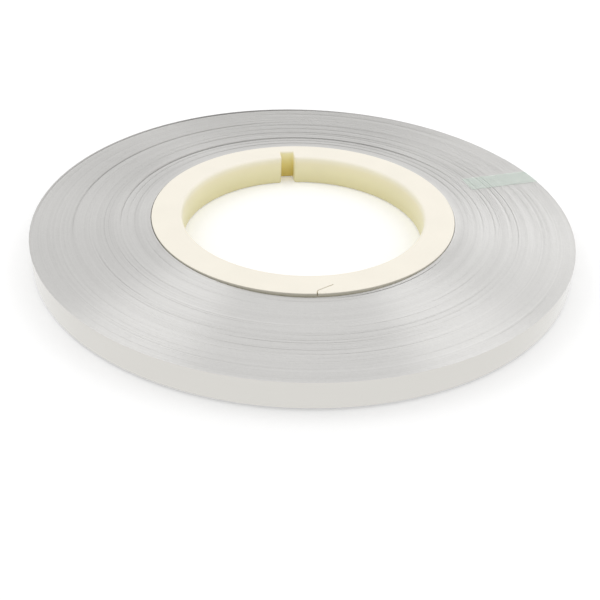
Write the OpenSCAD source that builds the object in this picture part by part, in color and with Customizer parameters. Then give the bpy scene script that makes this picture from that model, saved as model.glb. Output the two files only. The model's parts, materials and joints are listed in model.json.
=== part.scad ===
// Coil of nickel strip on a moulded plastic core, held shut with a piece of tape
// Millimetres, +Z up. The coil lies flat, with the origin on its axis at the underside of the core.
// Angles are counted from +X, anticlockwise seen from above.

/* [Strip] */
// Width of the strip
strip_w = 8; // [4:0.5:20]
// Thickness of the strip
strip_t = 0.15; // [0.1:0.01:0.3]
// Air left between one turn and the next
turn_air = 0.003; // [0:0.001:0.02]
// Turns wound on the core
turns = 237; // [120:3:300]
// Turns that lie together and show as one ring on the ends
turns_per_ring = 6; // [4:1:12]
// Most that a ring of turns stands above or below its neighbours
wander = 0.12; // [0:0.01:0.2]
// How far the first turns sit below the others, beside the core
inner_dip = 0.2; // [0:0.01:0.25]
// Strip left free past the tape, up to its outer end
tail_free = 12; // [4:1:40]

/* [Core] */
// Diameter of the bore
bore_d = 76.2; // [50:0.1:100]
// Wall of the core, from the bore to the strip
core_wall = 9.5; // [8:0.5:20]
// How far the core stands past the strip at each end
core_proud = 1; // [0.45:0.05:2]
// Rounding of the core's edges at the bore
bore_edge_r = 1; // [0.2:0.1:1.5]
// Rounding of its edges beside the strip
rim_edge_r = 0.3; // [0.1:0.05:0.6]
// Room between the core and the first turn
winding_gap = 0.1; // [0.05:0.05:0.5]
// Width of the keyway in the bore
keyway_w = 4.5; // [2:0.1:8]
// Depth of the keyway, from the bore outwards
keyway_depth = 5; // [2:0.1:5.5]
// Place of the keyway
keyway_angle = 98.9; // [60:0.1:240]

/* [Slit for the inner end] */
// Place where the slit opens on the outside of the core
slit_angle = -84.5; // [-120:0.5:0]
// Length of the short straight mouth of the slit
slit_mouth = 1.4; // [0.8:0.1:3]
// Length of the slanted leg behind the mouth
slit_leg = 5.6; // [3:0.1:8]
// Slant of that leg from the core's tangent
slit_slope = 31; // [20:1:40]
// Room on each side of the strip in the slit
slit_clearance = 0.15; // [0.05:0.05:0.4]

/* [Tape] */
// Width of the tape
tape_w = 8; // [4:0.5:20]
// Thickness of the tape
tape_t = 0.1; // [0.05:0.01:0.15]
// How far the tape reaches in from the rim on the upper end
tape_reach_top = 24.5; // [8:0.5:30]
// How far the tape reaches in from the rim on the lower end
tape_reach_base = 18; // [8:0.5:30]
// Place of the tape on the rim
tape_angle = 21.3; // [0:0.1:60]
// Turn of the tape away from the radius
tape_skew = -3; // [-10:0.5:10]
// Room between the tape and the turns it lies on
tape_clearance = 0.02; // [0.01:0.01:0.05]

/* [Hidden] */
$fn = 128;

bore_r = bore_d / 2;
core_r = bore_r + core_wall;
core_h = strip_w + 2 * core_proud;

pitch = strip_t + turn_air;
coil_in_r = core_r + winding_gap;
coil_out_r = coil_in_r + turns * pitch;
rings = floor(turns / turns_per_ring);
ring_w = turns * pitch / rings;
lap_in_r = coil_out_r - ring_w;

base_z = core_proud;
top_z = base_z + strip_w;

// The wander is the sum of two waves: degrees that each moves on from ring to ring, and the first one's share
first_wave = 53;
second_wave = 137.5;
first_share = 0.4;
// Rings over which the dip beside the core fades out
dip_rings = 1.5;

// Place of the strip's outer end, a free length past the tape
tail_angle = tape_angle + (tape_w / 2 + tail_free) / coil_out_r * 180 / PI;

// A cut runs this far past the face that it opens
cut_past = 1;

// Height of ring i against the others: it wanders a little, and dips beside the core
function ring_rise(i) =
    wander * (first_share * sin(i * first_wave) + (1 - first_share) * sin(i * second_wave))
    - inner_dip * exp(-i / dip_rings);

function ring_r(i) = coil_in_r + i * ring_w;

// Section of the wound rings up to the outermost one, each the full width of the strip
module ring_section() {
    last = rings - 2;
    upper = [for (i = [0 : last], side = [0, 1]) [ring_r(i + side), top_z + ring_rise(i)]];
    lower = [for (i = [last : -1 : 0], side = [1, 0]) [ring_r(i + side), base_z + ring_rise(i)]];
    polygon(concat(upper, lower));
}

module half_disc(r, from_angle) {
    intersection() {
        circle(r);
        rotate(from_angle) translate([-2 * r, 0]) square([4 * r, 2 * r]);
    }
}

// Outermost ring, drawn from two centres so that it ends in one step of the strip's thickness.
// It takes in one turn of the ring below, which joins it to the rest.
module outer_lap() {
    step = strip_t / 2;
    translate([0, 0, base_z])
    linear_extrude(strip_w)
    rotate(tail_angle)
    difference() {
        union() {
            half_disc(coil_out_r, 0);
            translate([step, 0]) half_disc(coil_out_r + step, 180);
        }
        circle(lap_in_r - pitch);
    }
}

// Line of the slit, thickened to w: a mouth from radius mouth_r inwards, then a slanted leg
module slit_line(w, leg, mouth_r) {
    bend_r = core_r - slit_mouth;
    rotate(slit_angle) {
        translate([bend_r - w / 2, -w / 2]) square([mouth_r - bend_r + w / 2, w]);
        translate([bend_r, 0]) rotate(slit_slope) translate([-w / 2, -w / 2]) square([w, leg + w / 2]);
    }
}

// Inner end of the strip, tucked into the core's slit
module inner_end() {
    translate([0, 0, base_z + ring_rise(0)])
    linear_extrude(strip_w)
    slit_line(strip_t, slit_leg - slit_clearance, coil_in_r + strip_t);
}

module nickel_strip() {
    color([0.78, 0.78, 0.77])
    union() {
        rotate_extrude() ring_section();
        outer_lap();
        inner_end();
    }
}

// Section of the core: a rectangle whose corners are rounded wide at the bore and small beside the strip
module core_section() {
    half_wall = core_wall / 2;
    union() {
        translate([bore_r + bore_edge_r, 0]) square([core_wall - bore_edge_r - rim_edge_r, core_h]);
        translate([bore_r, bore_edge_r]) square([half_wall, core_h - 2 * bore_edge_r]);
        translate([core_r - half_wall, rim_edge_r]) square([half_wall, core_h - 2 * rim_edge_r]);
        for (z = [bore_edge_r, core_h - bore_edge_r]) translate([bore_r + bore_edge_r, z]) circle(bore_edge_r);
        for (z = [rim_edge_r, core_h - rim_edge_r]) translate([core_r - rim_edge_r, z]) circle(rim_edge_r);
    }
}

module keyway() {
    rotate(keyway_angle)
    translate([bore_r - cut_past, -keyway_w / 2, -cut_past])
    cube([keyway_depth + cut_past, keyway_w, core_h + 2 * cut_past]);
}

module slit() {
    translate([0, 0, -cut_past])
    linear_extrude(core_h + 2 * cut_past)
    slit_line(strip_t + 2 * slit_clearance, slit_leg, core_r + cut_past);
}

module core() {
    color([0.97, 0.95, 0.86])
    difference() {
        rotate_extrude() core_section();
        keyway();
        slit();
    }
}

// Section of the tape: over the upper end, down the wall and under the lower end
module tape_section() {
    wall_r = coil_out_r + strip_t + tape_clearance;
    over_z = top_z + wander + tape_clearance;
    under_z = base_z - wander - tape_clearance;
    in_top_r = coil_out_r - tape_reach_top;
    in_base_r = coil_out_r - tape_reach_base;
    polygon([
        [in_top_r, over_z],
        [wall_r, over_z],
        [wall_r, under_z],
        [in_base_r, under_z],
        [in_base_r, under_z - tape_t],
        [wall_r + tape_t, under_z - tape_t],
        [wall_r + tape_t, over_z + tape_t],
        [in_top_r, over_z + tape_t],
    ]);
}

module tape() {
    reach = max(tape_reach_top, tape_reach_base) + cut_past;
    color([0.72, 0.84, 0.76, 0.7])
    intersection() {
        rotate_extrude() tape_section();
        rotate(tape_angle)
        translate([coil_out_r, 0, -cut_past])
        rotate(tape_skew)
        translate([-reach, -tape_w / 2, 0])
        cube([reach + tape_w, tape_w, core_h + 2 * cut_past]);
    }
}

nickel_strip();
core();
tape();
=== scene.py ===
import json
import math

import bpy
import numpy as np
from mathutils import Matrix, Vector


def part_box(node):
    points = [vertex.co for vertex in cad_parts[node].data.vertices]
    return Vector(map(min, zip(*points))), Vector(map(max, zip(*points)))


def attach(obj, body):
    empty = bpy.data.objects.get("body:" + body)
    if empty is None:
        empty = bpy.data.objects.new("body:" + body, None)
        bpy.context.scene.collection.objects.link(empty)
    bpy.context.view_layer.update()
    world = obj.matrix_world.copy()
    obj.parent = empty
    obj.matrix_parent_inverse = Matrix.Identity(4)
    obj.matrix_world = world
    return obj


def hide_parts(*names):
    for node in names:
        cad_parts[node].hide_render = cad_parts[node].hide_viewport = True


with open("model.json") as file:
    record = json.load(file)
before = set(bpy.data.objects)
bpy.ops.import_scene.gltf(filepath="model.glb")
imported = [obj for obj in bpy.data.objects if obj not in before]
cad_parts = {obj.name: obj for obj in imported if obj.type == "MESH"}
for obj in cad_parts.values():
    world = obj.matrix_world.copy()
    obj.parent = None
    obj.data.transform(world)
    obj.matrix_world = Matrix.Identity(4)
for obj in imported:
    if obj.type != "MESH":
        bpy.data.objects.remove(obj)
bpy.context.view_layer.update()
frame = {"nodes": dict(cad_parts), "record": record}        # strip, core and tape at their CAD places, in metres
mm = 0.001
full = 2.0 * math.pi
quarter = math.pi / 2
print("frame loaded:", sorted(frame["nodes"]))

coreLow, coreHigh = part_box("core")
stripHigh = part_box("nickel_strip")[1]
tapeLow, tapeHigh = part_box("tape")
boreMount = next(m for m in frame["record"]["mounts"] if m["name"] == "core_bore")
boreRadius = boreMount["dims"]["r_mm"] * mm
coreRadius = (coreHigh.x - coreLow.x) / 2
coreHeight = coreHigh.z - coreLow.z


# Small helpers for shapes

def srgb(red, green, blue):
    # a colour as it shows on the screen, 0 to 255, as the linear values that a socket takes
    shown = np.array([red, green, blue]) / 255.0
    linear = np.where(shown > 0.04045, ((shown + 0.055) / 1.055) ** 2.4, shown / 12.92)
    return (*linear.tolist(), 1.0)


def putMesh(name, points, faces, smoothAngle=30.0):
    mesh = bpy.data.meshes.new(name)
    mesh.from_pydata(np.asarray(points, float).tolist(), [], faces)
    mesh.polygons.foreach_set("use_smooth", np.ones(len(mesh.polygons), bool))
    mesh.set_sharp_from_angle(angle=math.radians(smoothAngle))
    piece = bpy.data.objects.new(name, mesh)
    bpy.context.scene.collection.objects.link(piece)
    return piece


def gridFaces(rows, columns, closeRows=False, closeColumns=False):
    # quad (i, j) joins point (i, j) to its neighbours one row and one column on
    i, j = np.meshgrid(
        np.arange(rows if closeRows else rows - 1),
        np.arange(columns if closeColumns else columns - 1),
        indexing="ij",
    )
    up, on = (i + 1) % rows, (j + 1) % columns
    quads = np.stack([i * columns + j, up * columns + j, up * columns + on, i * columns + on], -1)
    return quads.reshape(-1, 4).tolist()


def polar(radius, angle, height):
    return np.stack(np.broadcast_arrays(radius * np.cos(angle), radius * np.sin(angle), height), -1)


def turned(line, degrees):
    # points of a flat line, turned anticlockwise about the axis
    t = math.radians(degrees)
    return line @ np.array([[math.cos(t), math.sin(t)], [-math.sin(t), math.cos(t)]])


def ease(x):
    x = np.clip(x, 0.0, 1.0)
    return x * x * (3.0 - 2.0 * x)


def bell(off, spread):
    # 1 in the middle, falling to 1/e at the spread on either side
    return np.exp(-((off / spread) ** 2))


def degreesFrom(middle, degrees):
    # the way round the coil from a middle, between -180 and 180
    return (degrees - middle + 180.0) % 360.0 - 180.0


def ringNoise(turn, angle, turnsPerKnot, knotsRound, seed):
    # random numbers on a lattice of turns by angles that closes round the coil, eased from knot to knot
    draw = np.random.default_rng(seed)
    lattice = draw.standard_normal((int(turn.max() / turnsPerKnot) + 3, knotsRound))
    across = turn / turnsPerKnot
    around = (angle / full % 1.0) * knotsRound
    i, j = np.floor(across).astype(int), np.floor(around).astype(int) % knotsRound
    a, b = ease(across - np.floor(across)), ease(around - np.floor(around))
    k = (j + 1) % knotsRound
    here = lattice[i, j] * (1 - b) + lattice[i, k] * b
    beyond = lattice[i + 1, j] * (1 - b) + lattice[i + 1, k] * b
    return here * (1 - a) + beyond * a


# Camera, at the place that lines the rim and the core up with the photograph

camera = {
    "lens": 52.17,
    "distance": 277.2 * mm,   # from the middle of the upper end
    "elevation": 28.69,
    "pan": 0.04,
    "tilt": -34.47,
    "roll": -1.79,
    "aimHeight": 9.0 * mm,
    "nearest": 10.0 * mm,
}


def placeCamera(c):
    # right, forward and up are turned by roll about forward, then tilt about right, then pan about up
    e, p, t, r = (math.radians(c[k]) for k in ("elevation", "pan", "tilt", "roll"))
    panTurn = np.array([[math.cos(p), -math.sin(p), 0], [math.sin(p), math.cos(p), 0], [0, 0, 1]])
    tiltTurn = np.array([[1, 0, 0], [0, math.cos(t), -math.sin(t)], [0, math.sin(t), math.cos(t)]])
    rollTurn = np.array([[math.cos(r), 0, math.sin(r)], [0, 1, 0], [-math.sin(r), 0, math.cos(r)]])
    right, forward, up = (panTurn @ tiltTurn @ rollTurn).T
    pose = np.eye(4)
    pose[:3, :3] = np.stack([right, up, -forward], -1)
    pose[:3, 3] = [0, -c["distance"] * math.cos(e), c["distance"] * math.sin(e) + c["aimHeight"]]
    lens = bpy.data.cameras.new("camera")
    lens.lens = c["lens"]
    lens.sensor_fit = "HORIZONTAL"
    lens.clip_start = c["nearest"]
    eye = bpy.data.objects.new("camera", lens)
    bpy.context.scene.collection.objects.link(eye)
    eye.matrix_world = pose.T.tolist()
    bpy.context.scene.camera = eye


placeCamera(camera)
print("camera placed")


# Small helpers for materials

def newMaterial(name):
    material = bpy.data.materials.new(name)
    material.use_nodes = True
    nodes = material.node_tree.nodes
    return material, nodes, material.node_tree.links, nodes["Principled BSDF"]


def addNode(nodes, kind, **values):
    node = nodes.new(kind)
    for key, value in values.items():
        setattr(node, key, value)
    return node


def setInputs(node, values):
    for key, value in values.items():
        node.inputs[key].default_value = value


def makeGrain(detail=4.0, middle=(0.3, 0.7)):
    # grain: noise at a position, its middle range spread from Low to High
    group = bpy.data.node_groups.new("surfaceGrain", "ShaderNodeTree")
    group.interface.new_socket("Position", in_out="INPUT", socket_type="NodeSocketVector")
    for name in ("Scale", "Low", "High"):
        group.interface.new_socket(name, in_out="INPUT", socket_type="NodeSocketFloat")
    group.interface.new_socket("Value", in_out="OUTPUT", socket_type="NodeSocketFloat")
    nodes, links = group.nodes, group.links
    put, out = addNode(nodes, "NodeGroupInput"), addNode(nodes, "NodeGroupOutput")
    noise = addNode(nodes, "ShaderNodeTexNoise")
    noise.inputs["Detail"].default_value = detail
    spread = addNode(nodes, "ShaderNodeMapRange")
    setInputs(spread, {"From Min": middle[0], "From Max": middle[1]})
    links.new(put.outputs["Position"], noise.inputs["Vector"])
    links.new(put.outputs["Scale"], noise.inputs["Scale"])
    links.new(noise.outputs["Fac"], spread.inputs["Value"])
    links.new(put.outputs["Low"], spread.inputs["To Min"])
    links.new(put.outputs["High"], spread.inputs["To Max"])
    links.new(spread.outputs["Result"], out.inputs["Value"])
    return group


surfaceGrain = makeGrain()


def addGrain(nodes, links, position, scale, low, high):
    grain = addNode(nodes, "ShaderNodeGroup", node_tree=surfaceGrain)
    links.new(position, grain.inputs["Position"])
    setInputs(grain, {"Scale": scale, "Low": low, "High": high})
    return grain.outputs["Value"]


def addRamp(nodes, links, value, colours):
    # colours by their place on the ramp, from 0 to 1
    ramp = addNode(nodes, "ShaderNodeValToRGB")
    stops = ramp.color_ramp.elements
    for place in sorted(colours)[1:-1]:
        stops.new(place)
    for stop, place in zip(stops, sorted(colours)):
        stop.position, stop.color = place, colours[place]
    links.new(value, ramp.inputs["Fac"])
    return ramp.outputs["Color"]


def number(nodes, links, operation, *values):
    # a sum on sockets and plain numbers
    node = addNode(nodes, "ShaderNodeMath", operation=operation)
    for socket, value in zip(node.inputs, values):
        if isinstance(value, bpy.types.NodeSocket):
            links.new(value, socket)
        else:
            socket.default_value = value
    return node.outputs["Value"]


def easedRange(nodes, links, value, start, end, low, high):
    # low up to start, high from end on, eased between them
    node = addNode(nodes, "ShaderNodeMapRange", interpolation_type="SMOOTHSTEP")
    setInputs(node, {"From Min": start, "From Max": end, "To Min": low, "To Max": high})
    links.new(value, node.inputs["Value"])
    return node.outputs["Result"]


# Slit in the core, which holds the inner end of the strip

slit = {
    "angle": -84.5,
    "mouth": 1.4 * mm,
    "leg": 5.6 * mm,
    "slope": 31.0,            # from the core's tangent
    "width": 0.3 * mm,
    "bend": 0.8 * mm,         # length of the rounding on each side of the corner
    "bendSteps": 8,
    "cutPast": 1.0 * mm,      # the cut runs this far past the core's faces
    "sharpAngle": 35.0,
}


def slitPath(c, legLength, mouthRadius):
    # from the tip of the slanted leg, round the corner, straight out to the mouth's radius
    slope = math.radians(c["slope"])
    along = np.array([-math.sin(slope), math.cos(slope)])
    corner = np.array([coreRadius - c["mouth"], 0.0])
    before, after = corner + c["bend"] * along, corner + [c["bend"], 0.0]
    t = np.linspace(0.0, 1.0, c["bendSteps"] + 1)[:, None]
    bend = before * (1 - t) ** 2 + 2 * corner * t * (1 - t) + after * t ** 2
    path = np.concatenate([[corner + legLength * along], bend, [[mouthRadius, 0.0]]])
    return turned(path, c["angle"])


def sidesOf(path, width):
    # the two lines at half the width to the left and to the right of a path
    step = np.gradient(path, axis=0)
    step /= np.linalg.norm(step, axis=1)[:, None]
    left = np.stack([-step[:, 1], step[:, 0]], -1)
    return path + left * width / 2, path - left * width / 2


# Nickel strip: one long band wound outwards, every turn of it in the mesh

strip = {
    "width": 8.0 * mm,
    "thickness": 0.15 * mm,
    "base": 1.0 * mm,
    "coreGap": 0.1 * mm,
    "segments": 96,           # columns in one turn
    "turns": 236.32,          # from the slit to the outer end
    "lean": 5.0,              # slope of each cut edge, down towards the outside
    "deepest": 0.3 * mm,      # most that a turn sinks on the lower end
    # height from turn to turn, and over groups of turns
    "jitter": 0.012 * mm,
    "drift": 0.014 * mm,
    # short stretches of turns lie a little low, where a noise of their own is high
    "faintDepth": 0.03 * mm,
    "faintFrom": 0.9,
    "faintSpan": 1.2,
    "faintTwist": 2.4,        # radians that the noise moves on from turn to turn
    # beside the core the first turns dip; away from the slit they have crept up instead
    "innerDip": 0.12 * mm,
    "dipTurns": 9.0,
    "innerRise": 0.8 * mm,
    "riseSpread": 42.0,       # degrees each way from the slit
    "riseTurns": 22.0,
    # the fold at the slit holds the first turns off the core, with painted shade on their cut edges in that
    # crevice
    "foldGap": 0.12 * mm,
    "foldSpread": 26.0,       # degrees each way from the slit
    "foldTurns": 12.0,
    "foldDark": 0.1,
    "foldDarkTurns": 5.1,
    # at the back the last turns stand a little proud, with a painted shadow line at that step
    "rimRise": 0.2 * mm,
    "rimTurns": 4.0,
    "rimMiddle": 110.0,
    "rimSpread": 40.0,        # degrees each way from the middle
    "rimDark": 0.7,
    "rimDarkTurns": 8 / 3,
    # brightness of the cut edges, and how it varies by turn, by ring and by band
    "tone": 0.7,
    "toneFine": 0.045,
    "toneRings": 0.045,
    "toneBands": 0.06,
    "toneInner": 0.1,         # brighter beside the core, over so many turns
    "toneTurns": 40.0,
    # each dark line below
    "lineDepth": 0.5 * mm,    # how low the darkest one would lie
    "lineFade": 1 / 3,        # share of its length over which it fades in, and out again
}

# noise over the coil's ends: turns from knot to knot, knots round the coil, seed
stripNoise = {
    "jitter": (1.0, 9, 3),
    "drift": (7.0, 5, 5),
    "faint": (1.0, 8, 7),
    "toneFine": (1.0, 7, 11),
    "toneRings": (2.5, 6, 13),
    "toneBands": (14.0, 4, 17),
}

# turns that lie low and show as dark lines, their cut edges also painted with shade: radius in mm, first and
# last angle, darkness, half width in turns
darkLines = [
    (48.7, -86, -22, 0.45, 0.9),
    (50.2, -48, 38, 0.28, 14.0),
    (50.7, -160, -125, 0.12, 0.9),
    (51.9, -18, 175, 0.27, 2.2),
    (52.5, 140, 200, 0.16, 1.2),
    (54.4, -20, 165, 0.25, 2.0),
    (54.8, 110, 205, 0.22, 1.2),
    (56.4, -25, 45, 0.26, 1.1),
    (56.9, 10, 185, 0.70, 2.4),
    (56.9, 145, 200, 0.34, 1.2),
    (57.3, 195, 250, 0.12, 0.9),
    (57.7, -50, -15, 0.14, 0.9),
    (59.1, -5, 60, 0.12, 0.9),
    (59.4, -162, -125, 0.14, 0.9),
    (59.9, -62, -25, 0.20, 0.9),
    (59.9, -20, 25, 0.18, 1.0),
    (60.2, 20, 130, 0.22, 3.5),
    (61.4, -15, 50, 0.14, 1.0),
    (61.7, 25, 165, 0.26, 2.6),
    (65.1, -25, 60, 0.18, 1.0),
    (65.2, -112, -10, 0.18, 0.9),
    (65.2, 40, 130, 0.26, 3.0),
    (65.6, -165, -120, 0.22, 0.9),
    (67.0, -40, 62, 0.21, 1.1),
    (67.3, -110, -35, 0.14, 0.8),
    (67.6, -150, -110, 0.15, 0.9),
    (68.4, -115, -65, 0.14, 0.8),
    (68.8, 50, 115, 0.14, 4.0),
    (71.2, 85, 185, 0.36, 2.0),
    (71.2, 150, 205, 0.22, 1.0),
    (71.3, -120, -65, 0.15, 0.9),
    (75.1, -115, -70, 0.10, 0.8),
    (77.8, -170, -145, 0.12, 0.8),
    (79.2, 35, 115, 0.26, 4.0),
    (80.7, -58, -25, 0.12, 0.8),
    (83.2, 120, 200, 0.30, 1.5),
]


def turnRelief(c, turn, angle, inRadius, pitch):
    # height of each column against a level winding, and the painted shade on its cut edge:
    # noise, bells round the coil times fades across the turns, and for each dark line a bell across the turns
    degrees = np.degrees(angle)
    offSlit = degreesFrom(slit["angle"], degrees)
    atBack = bell(degreesFrom(c["rimMiddle"], degrees), c["rimSpread"])
    fromStep = turn - (turn[-1] - c["rimTurns"])
    faint = ringNoise(turn, angle + c["faintTwist"] * turn, *stripNoise["faint"])

    lift = c["jitter"] * ringNoise(turn, angle, *stripNoise["jitter"])
    lift += c["drift"] * ringNoise(turn, angle, *stripNoise["drift"])
    lift -= c["faintDepth"] * ease((faint - c["faintFrom"]) / c["faintSpan"])
    lift -= c["innerDip"] * np.exp(-turn / c["dipTurns"])
    lift += c["innerRise"] * (1.0 - bell(offSlit, c["riseSpread"])) * np.exp(-turn / c["riseTurns"])
    lift += c["rimRise"] * atBack * (fromStep > 0.0)

    # painted shade on the cut edges: in the crevice at the fold, and as a shadow line along the proud step at
    # the back
    atFold = bell(offSlit, c["foldSpread"]) * np.exp(-((turn / c["foldDarkTurns"]) ** 4))
    dark = np.maximum(c["foldDark"] * atFold, c["rimDark"] * atBack * bell(fromStep, c["rimDarkTurns"]))
    for radius, first, stop, darkness, wide in darkLines:
        at = (radius * mm - inRadius) / pitch
        along = (degrees - first) % 360.0 / (stop - first)
        fade = ease(along / c["lineFade"]) * ease((1.0 - along) / c["lineFade"]) * (along < 1.0)
        line = darkness * fade * bell(turn - at, wide)
        lift -= c["lineDepth"] * line
        # each sunk turn's cut edge is also painted with shade, as dark as its line
        dark = np.maximum(dark, line)
    return lift, dark


def turnToneAndShade(c, turn, angle, dark):
    # brightness of each column's cut edge: noise of three sizes, lighter beside the core, less the painted shade
    # in crevices, at steps and on sunk turns
    tone = c["tone"] + c["toneInner"] * np.exp(-turn / c["toneTurns"])
    for name in ("toneFine", "toneRings", "toneBands"):
        tone += c[name] * ringNoise(turn, angle, *stripNoise[name])
    return np.clip(tone, 0.0, 1.0) * (1.0 - dark)


def windStrip(c):
    # column i lies at angle start + i steps; its inner edge is on radius in + pitch times the turns so far
    n = c["segments"]
    last = int(round(c["turns"] * n))
    turn = np.arange(last + 1) / n
    angle = math.radians(slit["angle"]) + full * turn
    inRadius = coreRadius + c["coreGap"]
    pitch = (stripHigh.x - inRadius) / (turn[-1] + 1.0)
    nearSlit = bell(degreesFrom(slit["angle"], np.degrees(angle)), c["foldSpread"])

    def radiusAt(turn):
        # near the slit the first turns stand off the core, by less and less further out
        return inRadius + pitch * turn + c["foldGap"] * nearSlit * np.exp(-turn / c["foldTurns"])

    inner, outer = radiusAt(turn), radiusAt(turn + 1.0)
    lift, dark = turnRelief(c, turn, angle, inRadius, pitch)
    top, low = c["base"] + c["width"] + lift, c["base"] + np.maximum(lift, -c["deepest"])
    lean = pitch / 2 * math.tan(math.radians(c["lean"]))

    # rings of points: inner top, outer top, outer low, inner low; then the tongue in the slit
    points = [
        polar(inner, angle, top + lean), polar(outer, angle, top - lean),
        polar(outer, angle, low + lean), polar(inner, angle, low - lean),
    ]
    topIn, topOut, lowOut, lowIn = (k * (last + 1) for k in range(4))
    tonguePath = slitPath(slit, slit["leg"] - slit["width"] / 2, inRadius + pitch)
    left, right = sidesOf(tonguePath, c["thickness"])
    tongue = len(left)
    for side, height in ((left, top[0]), (right, top[0]), (right, low[0]), (left, low[0])):
        points.append(np.c_[side, np.full(tongue, height)])
    points = np.concatenate(points)

    # bake map: angle across; up it the upper end, the lower end, the inner wall, the rim and small patches
    bands = {"upper": (0.01, 0.44), "lower": (0.46, 0.89), "inner": (0.905, 0.935), "rim": (0.945, 0.98)}
    shareOfTurn = 0.85        # the rest of a turn's width is the step to the next one
    patchRow, patchWide, patchTall = 0.985, 0.02, 0.01
    tongueWide, sideTall, sideGap = 0.4, 0.0025, 0.0005
    capStarts, tipStarts = (0.5, 0.6), (0.7, 0.8)

    def endRow(i, share, band):
        bandLow, bandHigh = bands[band]
        return bandLow + (bandHigh - bandLow) * (turn[i] + share) / (turn[-1] + 1.0)

    def quads(*corners):
        return np.stack(corners, -1)

    def mapped(i, columns, rows):
        return np.stack([quads(*((i % n + k) / n for k in columns)), quads(*rows)], -1)

    # both ends: the cut edge of every turn, and the step from it to the next turn
    i, r = np.arange(last), np.arange(last - n)
    ends, endMaps = [], []
    for band, p, q, flip in (("upper", topIn, topOut, 1), ("lower", lowIn, lowOut, -1)):
        ribbon = quads(p + i, q + i, q + i + 1, p + i + 1)
        ribbonMap = mapped(i, (0, 0, 1, 1), [
            endRow(i, 0, band), endRow(i, shareOfTurn, band),
            endRow(i + 1, shareOfTurn, band), endRow(i + 1, 0, band),
        ])
        step = quads(q + r + 1, q + r, p + r + n, p + r + n + 1)
        stepMap = mapped(r, (1, 0, 0, 1), [
            endRow(r + 1, shareOfTurn, band), endRow(r, shareOfTurn, band),
            endRow(r + n, 0, band), endRow(r + n + 1, 0, band),
        ])
        ends += [ribbon[:, ::flip], step[:, ::flip]]
        endMaps += [ribbonMap[:, ::flip], stepMap[:, ::flip]]

    # the inner wall on the first turn and the rim on the last one
    firstTurn, lastTurn = np.arange(n), np.arange(last - n, last)
    walls, wallMaps = [], []
    for band, ring, p, q, flip in (
        ("inner", firstTurn, lowIn, topIn, 1), ("rim", lastTurn, topOut, lowOut, -1),
    ):
        lowRow, highRow = (np.full(n, v) for v in bands[band][::flip])
        walls.append(quads(q + ring, q + ring + 1, p + ring + 1, p + ring))
        wallMaps.append(mapped(ring, (0, 1, 1, 0), [highRow, highRow, lowRow, lowRow]))

    # the small ends of the band, and the tongue with its two tips
    body = 4 * (last + 1)
    tongueFaces = np.array(gridFaces(4, tongue, True, False)) + body
    caps = [
        [topOut, topIn, lowIn, lowOut, lowIn + n, topIn + n],
        [topIn + last, topOut + last, lowOut + last, lowIn + last, lowOut + last - n, topOut + last - n],
    ]
    tips = [[body + k * tongue for k in (3, 2, 1, 0)], [body + k * tongue + tongue - 1 for k in (0, 1, 2, 3)]]
    faces = np.concatenate(ends + walls).tolist() + tongueFaces.tolist() + caps + tips

    # each of these has a patch in the top strip of the map
    j, k = (tongueFaces - body) % tongue, (tongueFaces - body) // tongue
    side = np.repeat(np.arange(4), tongue - 1)[:, None]
    nextSide = (k != side).astype(float)
    tongueMap = np.stack([
        patchWide + tongueWide * j / tongue,
        patchRow + (sideTall + sideGap) * side + sideTall * nextSide,
    ], -1)

    def capMap(corners, start):
        spot = points[corners]
        reach = np.hypot(spot[:, 0], spot[:, 1])
        return np.stack([
            start + patchWide * (reach - reach.min()) / pitch,
            patchRow + patchTall * (spot[:, 2] - low.min()) / c["width"],
        ], -1)

    tipMap = np.array([[0, 0], [patchWide, 0], [patchWide, patchTall], [0, patchTall]])
    corners = np.concatenate(
        [m.reshape(-1, 2) for m in endMaps + wallMaps + [tongueMap]]
        + [capMap(cap, start) for cap, start in zip(caps, capStarts)]
        + [tipMap + [start, patchRow] for start in tipStarts]
    )

    piece = putMesh("nickelCoil", points, faces)
    mesh = piece.data
    slots = np.zeros(len(faces), int)       # the cut edges on both ends first, then all that is rolled
    slots[sum(len(f) for f in ends):] = 1
    mesh.polygons.foreach_set("material_index", slots)
    layer = mesh.uv_layers.new(name="OFBake")
    layer.uv.foreach_set("vector", corners.astype(np.float32).ravel())
    # the cut edges' own tone, with painted shade in crevices, at steps and on sunk turns
    shade = mesh.attributes.new("edgeToneAndShade", "FLOAT", "POINT")
    tones = np.tile(turnToneAndShade(c, turn, angle, dark), 4)
    shade.data.foreach_set("value", np.r_[tones, np.full(4 * tongue, c["tone"])])
    return piece


nickel = {
    # cut-edge colours along the tone attribute: the dark low end is painted shade, the rest is the metal's own
    # tone
    "edgeToneAndShades": {0.0: srgb(80, 79, 76), 0.5: srgb(197, 196, 194), 1.0: srgb(211, 210, 208)},
    "rolled": srgb(219, 217, 212),
    "edgeRough": (0.36, 0.42),
    "rolledRough": (0.12, 0.26),
    "brushed": 0.95,
    "brushTurn": 0.25,        # of a full turn, so that lights smear across the turns
    "edgeGrain": 900.0,
    "edgeSpeckle": 2200.0,
    "speckle": (0.97, 1.02),
    "rollLines": 2500.0,
    "lineStretch": (0.02, 0.02, 1.0),
}


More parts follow.
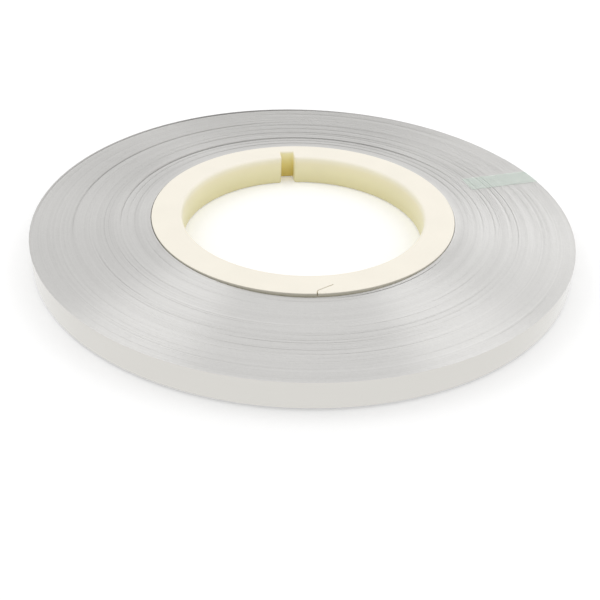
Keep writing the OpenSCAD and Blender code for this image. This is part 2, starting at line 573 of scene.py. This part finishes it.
def edgeNickel(c):
    # cut edges of the turns: satin, brushed round the coil, coloured by a tone attribute that also carries
    # painted shade
    material, nodes, links, shader = newMaterial("nickelEdge")
    tone = addNode(nodes, "ShaderNodeAttribute", attribute_name="edgeToneAndShade")
    place = addNode(nodes, "ShaderNodeTexCoord")
    speckled = addNode(nodes, "ShaderNodeVectorMath", operation="SCALE")
    links.new(addRamp(nodes, links, tone.outputs["Fac"], c["edgeToneAndShades"]), speckled.inputs[0])
    speckle = addGrain(nodes, links, place.outputs["Object"], c["edgeSpeckle"], *c["speckle"])
    links.new(speckle, speckled.inputs["Scale"])
    links.new(speckled.outputs["Vector"], shader.inputs["Base Color"])
    rough = addGrain(nodes, links, place.outputs["Object"], c["edgeGrain"], *c["edgeRough"])
    links.new(rough, shader.inputs["Roughness"])
    around = addNode(nodes, "ShaderNodeTangent", direction_type="UV_MAP", uv_map="OFBake")
    links.new(around.outputs["Tangent"], shader.inputs["Tangent"])
    setInputs(shader, {"Metallic": 1.0, "Anisotropic": c["brushed"], "Anisotropic Rotation": c["brushTurn"]})
    return material


def rolledNickel(c):
    # rolled face of the strip on the rim: bright, with faint lines along the strip
    material, nodes, links, shader = newMaterial("nickelRolled")
    place = addNode(nodes, "ShaderNodeTexCoord")
    stretch = addNode(nodes, "ShaderNodeMapping")
    stretch.inputs["Scale"].default_value = c["lineStretch"]
    links.new(place.outputs["Object"], stretch.inputs["Vector"])
    lines = addGrain(nodes, links, stretch.outputs["Vector"], c["rollLines"], *c["rolledRough"])
    links.new(lines, shader.inputs["Roughness"])
    setInputs(shader, {"Base Color": c["rolled"], "Metallic": 1.0})
    return material


nickelCoil = windStrip(strip)
nickelCoil.data.materials.append(edgeNickel(nickel))
nickelCoil.data.materials.append(rolledNickel(nickel))
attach(nickelCoil, "root")
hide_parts("nickel_strip")
print("strip wound:", len(nickelCoil.data.polygons), "faces")


# Core: a moulded ring with a keyway in its bore and the slit in its outside

core = {
    "boreEdge": 1.0 * mm,
    "rimEdge": 0.3 * mm,
    "edgeSteps": 10,
    "nearEdge": 0.2 * mm,     # row of points beside each rounding, which keeps the flats flat
    "columns": 360,
    "keyWidth": 4.5 * mm,
    "keyDepth": 5.0 * mm,
    "keyAngle": 98.9,
    "keyMouth": 1.1 * mm,     # rounding where the keyway meets the bore
    "keyRoot": 0.3 * mm,
    "keyEdge": 0.65,          # share of the edge rounding that is left round the keyway
    "keyBlend": 1.5 * mm,     # way along the bore over which it grows back to the full rounding
    "keySteps": 6,            # on each rounding and wall of the keyway
    "floorSteps": 3,          # on half of its floor
    "keyClear": 1.02,         # how much wider than the keyway its spokes meet the outside
    # painted shade and warm bounce light by height, underside 0 and top 1: the plastic is painted darker and
    # yellower further down its walls
    "boreShadeTones": {
        0.0: srgb(247, 242, 228), 0.03: srgb(228, 220, 172), 0.5: srgb(239, 232, 190),
        0.75: srgb(243, 235, 199), 0.9: srgb(247, 241, 217), 1.0: srgb(248, 242, 228),
    },
    "keyShadeTones": {
        0.0: srgb(247, 242, 228), 0.03: srgb(222, 199, 98), 0.5: srgb(240, 226, 146),
        0.9: srgb(250, 243, 200), 1.0: srgb(248, 242, 228),
    },
    "keyShadeSpan": (0.2, 0.8),    # shares of the keyway's depth between which its own painted shade takes over
    "keyShadeEnd": 1.2,         # and the share of it past which that painted shade ends
    "outsideShade": 0.6,            # how dark the painted shade on the outside wall is, and the depth of that band
    "outsideShadeDepth": 0.15 * mm,
    "rough": (0.38, 0.52),
    "grain": 1400.0,
    "grainBump": 0.15,
    "grainDepth": 0.02 * mm,
    "mottle": 90.0,
    "mottled": (0.97, 1.0),
}


def boreLine(c):
    # round the bore, anticlockwise: out along the keyway, over its floor and back, then round the circle
    half, floorRadius = c["keyWidth"] / 2, boreRadius + c["keyDepth"]
    mouth, root = c["keyMouth"], c["keyRoot"]
    arc = np.linspace(0.0, quarter, c["keySteps"] + 1)
    wallX = np.linspace(boreRadius + mouth, floorRadius - root, c["keySteps"] + 1)[1:-1]
    floorY = np.linspace(half - root, 0.0, c["floorSteps"] + 1)[1:]
    sideX = np.r_[
        boreRadius + mouth * (1 - np.cos(arc)), wallX,
        floorRadius - root * (1 - np.sin(arc)), np.full(len(floorY), floorRadius),
    ]
    sideY = np.r_[
        half + mouth * (1 - np.sin(arc)), np.full(len(wallX), half),
        half - root * (1 - np.cos(arc)), floorY,
    ]
    # the mouth's rounding starts on the circle of the bore, which has curved back there
    sideX[:len(arc)] -= np.cos(arc) * (boreRadius - math.sqrt(boreRadius ** 2 - (half + mouth) ** 2))
    keyX, keyY = np.r_[sideX, sideX[-2::-1]], np.r_[-sideY, sideY[-2::-1]]
    start = math.asin((half + mouth) / boreRadius)
    rest = np.linspace(start, full - start, c["columns"])[1:-1]
    line = np.stack([np.r_[keyX, boreRadius * np.cos(rest)], np.r_[keyY, boreRadius * np.sin(rest)]], -1)
    # each point's spoke meets the outside of the core clear of the keyway
    keySide = half + c["boreEdge"] * c["keyEdge"] + c["nearEdge"]
    clear = math.asin(keySide / coreRadius) * c["keyClear"]
    wallPoints = len(arc) + len(wallX)
    sideFan = np.r_[
        np.linspace(start, clear, wallPoints),
        np.linspace(clear, 0.0, len(sideX) - wallPoints + 1)[1:],
    ]
    fan = np.r_[-sideFan, sideFan[-2::-1], rest] + math.radians(c["keyAngle"])
    fromKey = np.r_[np.zeros(len(keyX)), np.minimum(rest, full - rest) - start]
    return turned(line, c["keyAngle"]), fan, fromKey * boreRadius


def mouldCore(c):
    # a closed section carried round: up the outside, over the top, down the bore and back under
    inside, fan, fromKey = boreLine(c)
    along = np.roll(inside, -1, 0) - np.roll(inside, 1, 0)
    along /= np.linalg.norm(along, axis=1)[:, None]
    intoWall = np.stack([along[:, 1], -along[:, 0]], -1)
    outward = np.stack([np.cos(fan), np.sin(fan)], -1)
    outside = coreRadius * outward
    arc = np.linspace(0.0, quarter, c["edgeSteps"] + 1)
    insideEdge = c["boreEdge"] * (c["keyEdge"] + (1 - c["keyEdge"]) * ease(fromKey / c["keyBlend"]))
    outsideEdge = np.full(len(outside), c["rimEdge"])

    def ring(line, inwards, edge, order, upper):
        # rows over one rounded edge, from the wall to the flat, or back with order -1
        near = edge[:, None] + c["nearEdge"]
        back = np.concatenate([0 * near, edge[:, None] * (1 - np.cos(arc)), near], 1)[:, ::order]
        drop = np.concatenate([near, edge[:, None] * (1 - np.sin(arc)), 0 * near], 1)[:, ::order]
        flat = line[:, None] + inwards[:, None] * back[..., None]
        return np.concatenate([flat, (coreHeight - drop if upper else drop)[..., None]], -1)

    section = np.concatenate([
        ring(outside, -outward, outsideEdge, -1, False), ring(outside, -outward, outsideEdge, 1, True),
        ring(inside, intoWall, insideEdge, -1, True), ring(inside, intoWall, insideEdge, 1, False),
    ], 1)
    rows, columns = section.shape[:2]
    return putMesh("coilCore", section.reshape(-1, 3), gridFaces(rows, columns, True, True))


def cutSlit(piece, c):
    # the slit's line thickened to its width, right through from top to bottom
    past = c["cutPast"]
    left, right = sidesOf(slitPath(c, c["leg"], coreRadius + past), c["width"])
    outline = np.concatenate([right, left[::-1]])
    count = len(outline)
    points = np.concatenate([np.c_[outline, np.full(count, z)] for z in (-past, coreHeight + past)])
    sides = [[k, (k + 1) % count, count + (k + 1) % count, count + k] for k in range(count)]
    blade = putMesh("slitBlade", points, sides + [list(range(count))[::-1], list(range(count, 2 * count))])
    cut = piece.modifiers.new("slit", "BOOLEAN")
    cut.object = blade
    cut.solver = "EXACT"
    whole = piece.evaluated_get(bpy.context.evaluated_depsgraph_get())
    plain, piece.data = piece.data, bpy.data.meshes.new_from_object(whole)
    piece.modifiers.clear()
    bpy.data.meshes.remove(plain)
    bpy.data.meshes.remove(blade.data)
    piece.data.name = piece.name
    piece.data.set_sharp_from_angle(angle=math.radians(c["sharpAngle"]))


def corePlastic(c):
    # cream moulded plastic: painted shade and warm bounce light deepening down the bore and the keyway, a
    # painted dark band on the outside wall, faint mottling and a satin mould grain
    material, nodes, links, shader = newMaterial("corePlastic")
    place = addNode(nodes, "ShaderNodeTexCoord")
    flat = addNode(nodes, "ShaderNodeVectorMath", operation="MULTIPLY")
    flat.inputs[1].default_value = (1, 1, 0)
    away = addNode(nodes, "ShaderNodeVectorMath", operation="LENGTH")
    links.new(place.outputs["Object"], flat.inputs[0])
    links.new(flat.outputs["Vector"], away.inputs[0])
    reach = away.outputs["Value"]
    keyFrom, keyTo, keyEnd = (boreRadius + share * c["keyDepth"] for share in (*c["keyShadeSpan"], c["keyShadeEnd"]))
    inKey = easedRange(nodes, links, reach, keyFrom, keyTo, 0.0, 1.0)
    nearBore = number(nodes, links, "LESS_THAN", reach, keyEnd)
    keyShare = number(nodes, links, "MULTIPLY", inKey, nearBore)
    split = addNode(nodes, "ShaderNodeSeparateXYZ")
    links.new(place.outputs["Object"], split.inputs["Vector"])
    height = number(nodes, links, "DIVIDE", split.outputs["Z"], coreHeight)
    # painted shade: the bore's and the keyway's colours darken and yellow towards the bottom
    tone = addNode(nodes, "ShaderNodeMix", data_type="RGBA")      # its colours are inputs 6 and 7, output 2
    links.new(addRamp(nodes, links, height, c["boreShadeTones"]), tone.inputs[6])
    links.new(addRamp(nodes, links, height, c["keyShadeTones"]), tone.inputs[7])
    links.new(keyShare, tone.inputs["Factor"])
    mottle = addGrain(nodes, links, place.outputs["Object"], c["mottle"], *c["mottled"])
    # painted shade: a thin dark band round the outside wall, at the core's outer radius
    outsideShade = easedRange(nodes, links, reach, coreRadius - c["outsideShadeDepth"], coreRadius, 1.0, c["outsideShade"])
    shaded = addNode(nodes, "ShaderNodeVectorMath", operation="SCALE")
    links.new(tone.outputs[2], shaded.inputs[0])
    links.new(number(nodes, links, "MULTIPLY", mottle, outsideShade), shaded.inputs["Scale"])
    links.new(shaded.outputs["Vector"], shader.inputs["Base Color"])
    rough = addGrain(nodes, links, place.outputs["Object"], c["grain"], *c["rough"])
    links.new(rough, shader.inputs["Roughness"])
    bump = addNode(nodes, "ShaderNodeBump")
    setInputs(bump, {"Strength": c["grainBump"], "Distance": c["grainDepth"]})
    links.new(rough, bump.inputs["Height"])
    links.new(bump.outputs["Normal"], shader.inputs["Normal"])
    return material


coilCore = mouldCore(core)
cutSlit(coilCore, slit)
coilCore.data.materials.append(corePlastic(core))
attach(coilCore, "root")
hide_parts("core")
print("core moulded:", len(coilCore.data.polygons), "faces")


# Tape: a short piece of film over the rim that keeps the coil shut

tape = {
    "width": 8.0 * mm,
    "thickness": 0.08 * mm,
    "backing": 0.1 * mm,      # thickness of the tape's solid, which this film lies inside
    "reachTop": 24.5 * mm,
    "reachBase": 18.0 * mm,
    "angle": 21.3,
    "skew": -3.0,
    "clearance": 0.02 * mm,
    "bend": 0.35 * mm,
    "bendSteps": 5,
    "rows": 60,
    "columns": 14,
    "followRim": 4.0 * mm,    # the film bends to the round of the rim over this last stretch
    "ripple": 0.02 * mm,
    "rippleAlong": 1.7 * mm,
    "rippleAcross": 2.3 * mm,
    "colour": srgb(234, 254, 241),
    "cover": 0.16,
    "grain": 300.0,
    "rough": (0.22, 0.4),
}


def layTape(c):
    # a C-shaped path over the top, down the rim and under, carried across the tape's width
    wall = stripHigh.x + c["clearance"]
    over, under = tapeHigh.z - c["backing"], tapeLow.z + c["backing"]
    middle, aim = math.radians(c["angle"]), math.radians(c["angle"] + c["skew"])
    centre = np.array([math.cos(middle), math.sin(middle)]) * wall
    along, aside = np.array([math.cos(aim), math.sin(aim)]), np.array([-math.sin(aim), math.cos(aim)])
    across = np.linspace(-0.5, 0.5, c["columns"]) * c["width"]
    start = centre + across[:, None] * aside
    # where each line along the tape meets the rim: the positive root of |start + along t| = wall
    half = start @ along
    toRim = -half + np.sqrt(half ** 2 - (start ** 2).sum(1) + wall ** 2)
    arc = np.linspace(0.0, quarter, c["bendSteps"] + 1)
    bend, rows = c["bend"], c["rows"]
    topIn = np.linspace(-c["reachTop"], -bend, rows)
    baseIn = np.linspace(-bend, -c["reachBase"], rows)[1:]
    shell = []
    for lift in (0.0, c["thickness"]):      # the film's inner face, then its outer one
        r = bend + lift
        past = np.r_[topIn, -bend + r * np.sin(arc)[1:], -bend + r * np.cos(arc), baseIn]
        tall = np.r_[
            np.full(rows, over + lift), over - bend + r * np.cos(arc)[1:],
            under + bend - r * np.sin(arc), np.full(rows - 1, under - lift),
        ]
        run = past[:, None] + toRim[None] * ease(1.0 + past[:, None] / c["followRim"])
        flat = start[None] + run[..., None] * along
        wave = np.sin(past / c["rippleAlong"])[:, None] * np.cos(across / c["rippleAcross"])[None]
        shell.append(np.concatenate([flat, (tall[:, None] + c["ripple"] * wave)[..., None]], -1))
    loop = np.concatenate([shell[1], shell[0][:, ::-1]], 1)
    count, columns = loop.shape[:2]
    faces = gridFaces(count, columns, False, True)
    faces += [list(range(columns)), list(range((count - 1) * columns, count * columns))[::-1]]
    return putMesh("closingTape", loop.reshape(-1, 3), faces)


def tapeFilm(c):
    # thin green film that lets the turns show through
    material, nodes, links, shader = newMaterial("tapeFilm")
    place = addNode(nodes, "ShaderNodeTexCoord")
    rough = addGrain(nodes, links, place.outputs["Object"], c["grain"], *c["rough"])
    links.new(rough, shader.inputs["Roughness"])
    setInputs(shader, {"Base Color": c["colour"], "Alpha": c["cover"]})
    return material


closingTape = layTape(tape)
closingTape.data.materials.append(tapeFilm(tape))
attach(closingTape, "root")
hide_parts("tape")
print("tape laid:", len(closingTape.data.polygons), "faces")


# Floor, lamps and world

studio = {
    "floorHalf": 3.0,
    "floor": 0.9,
    "floorRough": 0.9,
    "fill": 0.18,             # light that the floor adds for the camera, to white
    "farFill": 0.5,           # and what it adds further out
    "farSpan": (0.13, 0.32),
    "floorSeen": 1.0,         # what the metal sees of the floor
    "worldLevel": 0.89,
    "lowSeen": 0.76,          # what the metal sees of the walls, and how much lighter they grow upwards
    "highSeen": 0.39,
    "riseSeen": 0.2,          # a step up in light low on the walls
    "riseSpan": (0.2, 0.36),
    "sideSeen": (0.2, 1.0),   # a glow at the back, on the left and on the right
    "middleSpan": (-0.1, 0.1),
    "sideSpan": (0.15, 0.28),
    "backSpans": ((0.3, 0.5), (0.65, 0.85)),    # it comes up in two steps, half in each
    "glowSpan": (0.36, 0.5),  # and is fainter higher up
    "glowHigh": 0.27,
}

lamps = [
    {
        "name": "lampLeft", "azimuth": 160.0, "elevation": 55.0, "distance": 0.7,
        "size": (0.3, 0.3), "power": 0.34,
    },
    {
        "name": "lampRight", "azimuth": 20.0, "elevation": 53.0, "distance": 0.7,
        "size": (0.44, 0.3), "power": 0.33,
    },
]


def rayKinds(nodes, links):
    # 1 for rays from the camera; 1 for rays from a mirror or a clear film
    path = addNode(nodes, "ShaderNodeLightPath")
    glossy, through = path.outputs["Is Glossy Ray"], path.outputs["Is Transmission Ray"]
    return path.outputs["Is Camera Ray"], number(nodes, links, "MAXIMUM", glossy, through)


def layFloor(c):
    # a white sheet that lights itself a little for the camera, and looks evenly white in the metal
    h = c["floorHalf"]
    floor = putMesh("floor", [(-h, -h, 0), (h, -h, 0), (h, h, 0), (-h, h, 0)], [[0, 1, 2, 3]])
    material, nodes, links, shader = newMaterial("whiteFloor")
    white = (c["floor"], c["floor"], c["floor"], 1)
    setInputs(shader, {"Base Color": white, "Roughness": c["floorRough"], "Specular IOR Level": 0.0})
    place = addNode(nodes, "ShaderNodeTexCoord")
    away = addNode(nodes, "ShaderNodeVectorMath", operation="LENGTH")
    links.new(place.outputs["Object"], away.inputs[0])
    fill = easedRange(nodes, links, away.outputs["Value"], *c["farSpan"], c["fill"], c["farFill"])
    camera, mirror = rayKinds(nodes, links)
    shader.inputs["Emission Color"].default_value = (1, 1, 1, 1)
    links.new(number(nodes, links, "MULTIPLY", fill, camera), shader.inputs["Emission Strength"])
    seen = addNode(nodes, "ShaderNodeEmission")
    seen.inputs["Strength"].default_value = c["floorSeen"]
    either = addNode(nodes, "ShaderNodeMixShader")
    links.new(mirror, either.inputs["Fac"])
    links.new(shader.outputs["BSDF"], either.inputs[1])
    links.new(seen.outputs["Emission"], either.inputs[2])
    links.new(either.outputs["Shader"], nodes["Material Output"].inputs["Surface"])
    floor.data.materials.append(material)


def hangLamp(c):
    # a soft lamp that looks at the origin
    lamp = bpy.data.lights.new(c["name"], "AREA")
    lamp.shape = "RECTANGLE"
    lamp.size, lamp.size_y = c["size"]
    lamp.energy = c["power"]
    holder = bpy.data.objects.new(c["name"], lamp)
    bpy.context.scene.collection.objects.link(holder)
    e, a = math.radians(c["elevation"]), math.radians(c["azimuth"])
    towards = np.array([math.cos(e) * math.cos(a), math.cos(e) * math.sin(a), math.sin(e)])
    holder.location = c["distance"] * towards
    holder.rotation_euler = (quarter - e, 0.0, a + quarter)


def lightWorld(c):
    # white for the camera; the metal sees walls that grow lighter upwards, with a glow at the back
    world = bpy.data.worlds.new("studio")
    bpy.context.scene.world = world
    world.use_nodes = True
    nodes, links = world.node_tree.nodes, world.node_tree.links
    towards = addNode(nodes, "ShaderNodeTexCoord")
    split = addNode(nodes, "ShaderNodeSeparateXYZ")
    links.new(towards.outputs["Generated"], split.inputs["Vector"])
    x, y, z = (split.outputs[k] for k in "XYZ")
    upwards = number(nodes, links, "MULTIPLY", z, z)
    seen = number(nodes, links, "MULTIPLY_ADD", upwards, c["highSeen"], c["lowSeen"])
    rise = easedRange(nodes, links, z, *c["riseSpan"], 0.0, 1.0)
    seen = number(nodes, links, "MULTIPLY_ADD", rise, c["riseSeen"], seen)
    glow = easedRange(nodes, links, x, *c["middleSpan"], *c["sideSeen"])
    aside = number(nodes, links, "ABSOLUTE", x)
    backHalves = [easedRange(nodes, links, y, *span, 0.0, 0.5) for span in c["backSpans"]]
    for share in (
        easedRange(nodes, links, aside, *c["sideSpan"], 0.0, 1.0),
        number(nodes, links, "ADD", *backHalves),
        easedRange(nodes, links, z, *c["glowSpan"], 1.0, c["glowHigh"]),
    ):
        glow = number(nodes, links, "MULTIPLY", glow, share)
    seen = number(nodes, links, "ADD", seen, glow)
    camera, mirror = rayKinds(nodes, links)
    other = number(nodes, links, "SUBTRACT", 1.0, number(nodes, links, "MAXIMUM", camera, mirror))
    level = number(nodes, links, "MULTIPLY_ADD", mirror, seen, camera)
    level = number(nodes, links, "MULTIPLY_ADD", other, c["worldLevel"], level)
    nodes["Background"].inputs["Color"].default_value = (1, 1, 1, 1)
    links.new(level, nodes["Background"].inputs["Strength"])


layFloor(studio)
for lamp in lamps:
    hangLamp(lamp)
lightWorld(studio)
bpy.context.scene.view_settings.view_transform = "Standard"
print("studio lit")

bpy.context.view_layer.update()
